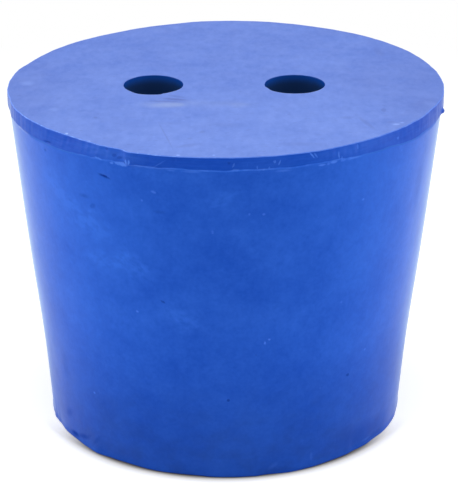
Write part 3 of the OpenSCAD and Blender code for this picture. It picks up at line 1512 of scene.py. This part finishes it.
@dataclass(frozen=True)
class Studio:
    """A white sweep under soft light, with the camera in front. Lengths are millimetres.

    Each pair of distances from the axis is where a change starts and where it is full.

    Attributes:
        room_light: Brightness of the room as a light; it is seen and mirrored as white.
        floor_drop: How far the floor lies under the foot.
        floor_lift: Glow that is added to it near the object and keeps its shadow soft.
        shadow_reach: Distances over which the shadow goes over into plain white.
        near_colour: Warmer colour of the floor close to the foot, painted to cancel the blue light
            that the stopper bounces there.
        near_reach: Distances over which the warmth fades.
        contact_shadow_colour: Colour of the painted shadow line where the foot stands.
        contact_shadow_line: Distances over which that line fades into the shade.
        shade_colour: Colour of the soft shade outside it.
        contact_shade: Distances over which the shade fades.
        contact_front: Places along y over which line and shade come in.
        beneath: Distances, going inwards, over which the glow fades under the foot.
        camera_centre: The point round which the camera was raised and drawn back.
        camera_aim: The point at the middle of its picture.
        camera_roll_deg: How far it is turned about its line of sight.
    """

    lamps: tuple[Softbox, ...] = (
        Softbox("overhead_softbox", (0.0, -60.0, 330.0), 420.0, 1.4),
        Softbox("left_softbox", (-400.0, 60.0, 120.0), 400.0, 2.2),
        Softbox("right_softbox", (400.0, 60.0, 120.0), 400.0, 2.2),
    )
    room_light: float = 0.42
    floor_size: float = 1600.0
    floor_drop: float = 0.01
    floor_colour: Colour = (0.80, 0.80, 0.80)
    floor_lift: float = 0.45
    shadow_reach: tuple[float, float] = (60.0, 110.0)
    near_colour: Colour = (0.80, 0.795, 0.745)
    near_reach: tuple[float, float] = (18.0, 27.0)
    contact_shadow_colour: Colour = (0.22, 0.20, 0.17)
    contact_shadow_line: tuple[float, float] = (15.4, 16.1)
    shade_colour: Colour = (0.80, 0.76, 0.66)
    contact_shade: tuple[float, float] = (15.5, 16.8)
    contact_front: tuple[float, float] = (-3.5, -11.5)
    beneath: tuple[float, float] = (15.4, 14.8)
    camera_distance: float = 207.64
    camera_rise_deg: float = 22.11
    camera_centre: Triple = (0.0, 0.0, 14.8)
    camera_aim: Triple = (0.37, 0.0, 14.30)
    camera_roll_deg: float = -0.18
    lens: float = 170.14

    def world(self) -> None:
        """Makes the room: white where it is seen or mirrored, dimmer as a light."""
        world = bpy.data.worlds.new("white_room")
        world.use_nodes = True
        bpy.context.scene.world = world
        bench = Bench(world.node_tree)
        seen = self.seen(bench)
        strength = self.room_light + seen * (1.0 - self.room_light)
        inputs = {"Color": WHITE, "Strength": strength}
        bench.close("ShaderNodeOutputWorld", bench.node("ShaderNodeBackground", {}, inputs))

    @staticmethod
    def seen(bench: Bench) -> Wire:
        """Returns 1 for rays from the camera and for mirrored and clear ones, and 0 for others."""
        rays = (bench.node("ShaderNodeLightPath", {}, {}, f"Is {k} Ray") for k in RAYS_SEEN)
        return functools.reduce(Wire.most, rays)

    def floor(self) -> bpy.types.Object:
        """Makes the floor, a wide flat sheet that keeps the shadow near the object.

        Returns:
            The floor's object.
        """
        reach = self.floor_size / 2 * MM
        drop = -self.floor_drop * MM
        u, v = np.meshgrid([-reach, reach], [-reach, reach])
        points = np.stack([u.ravel(), v.ravel(), np.full(4, drop)], axis=-1)
        mesh = bpy.data.meshes.new("floor")
        mesh.from_pydata(points, [], [(0, 1, 3, 2)])
        sheet = bpy.data.objects.new("floor", mesh)
        bpy.context.scene.collection.objects.link(sheet)
        sheet.data.materials.append(self.floor_material())
        return sheet

    def floor_material(self) -> bpy.types.Material:
        """Makes a floor that the camera sees as white with the shadow kept, and a painted contact
        shadow round the foot.

        Returns:
            The material, plain white to other rays.
        """
        made = bpy.data.materials.new("white_floor")
        made.use_nodes = True
        bench = Bench(made.node_tree)
        distance = bench.length(bench.point)
        near = bench.step(distance, self.shadow_reach[1], self.shadow_reach[0])
        matt = bench.node("ShaderNodeBsdfDiffuse", {}, {"Color": self.floor_colour})
        # Painted shadow: a dark line where the foot stands and a soft shade round it, towards the
        # front.
        open_side = 1.0 - bench.step(bench.part("Y"), *self.contact_front)
        line = bench.step(distance, *self.contact_shadow_line).most(open_side)
        shade = bench.step(distance, *self.contact_shade).most(open_side)
        close = bench.mix(line, self.contact_shadow_colour, self.shade_colour)
        far = bench.step(distance, *self.near_reach)
        plain = bench.mix(far, self.near_colour, self.floor_colour)
        touched = bench.node("ShaderNodeBsdfDiffuse", {}, {"Color": bench.mix(shade, close, plain)})
        lit = bench.mix(bench.step(distance, *self.beneath), WHITE, BLACK)
        glow = {"Color": bench.mix(shade, BLACK, lit), "Strength": self.floor_lift}
        lifted = bench.node("ShaderNodeEmission", {}, glow)
        kept = bench.node("ShaderNodeAddShader", {}, {0: touched, 1: lifted})
        white = bench.node("ShaderNodeEmission", {}, {"Color": WHITE, "Strength": 1.0})
        shown = bench.blend(near, white, kept)
        bench.close("ShaderNodeOutputMaterial", bench.blend(self.seen(bench), matt, shown))
        return made

    def camera(self) -> bpy.types.Object:
        """Makes the camera, on a rise in front of the object.

        Returns:
            The camera's object.
        """
        data = bpy.data.cameras.new("camera")
        data.lens = self.lens
        data.clip_start = MM
        seat = bpy.data.objects.new("camera", data)
        rise = math.radians(self.camera_rise_deg)
        back = Vector((0.0, -math.cos(rise), math.sin(rise))) * self.camera_distance
        seat.location = (Vector(self.camera_centre) + back) * MM
        look = Vector(self.camera_aim) * MM - seat.location
        roll = Quaternion((0.0, 0.0, 1.0), math.radians(self.camera_roll_deg))
        seat.rotation_euler = (look.to_track_quat("-Z", "Y") @ roll).to_euler()
        bpy.context.scene.collection.objects.link(seat)
        bpy.context.scene.camera = seat
        return seat

    def build(self) -> None:
        """Makes the room, the floor, the lamps and the camera."""
        self.world()
        self.floor()
        for lamp in self.lamps:
            lamp.build(Vector(self.camera_centre) * MM)
        self.camera()
        bpy.context.scene.view_settings.view_transform = "Standard"


def main() -> None:
    """Builds the studio and the stopper, and reports each piece."""
    logging.basicConfig(level=logging.INFO, format="%(name)s: %(message)s")
    Studio().build()
    plug = Plug.from_frame(frame["record"])
    piece = plug.build()
    plug.dress(piece)
    faces = sum(len(p.vertices) - 2 for p in piece.data.polygons)
    log.info("%s: %d triangles, %d finishes", piece.name, faces, len(piece.data.materials))


if __name__ == "__main__":
    main()
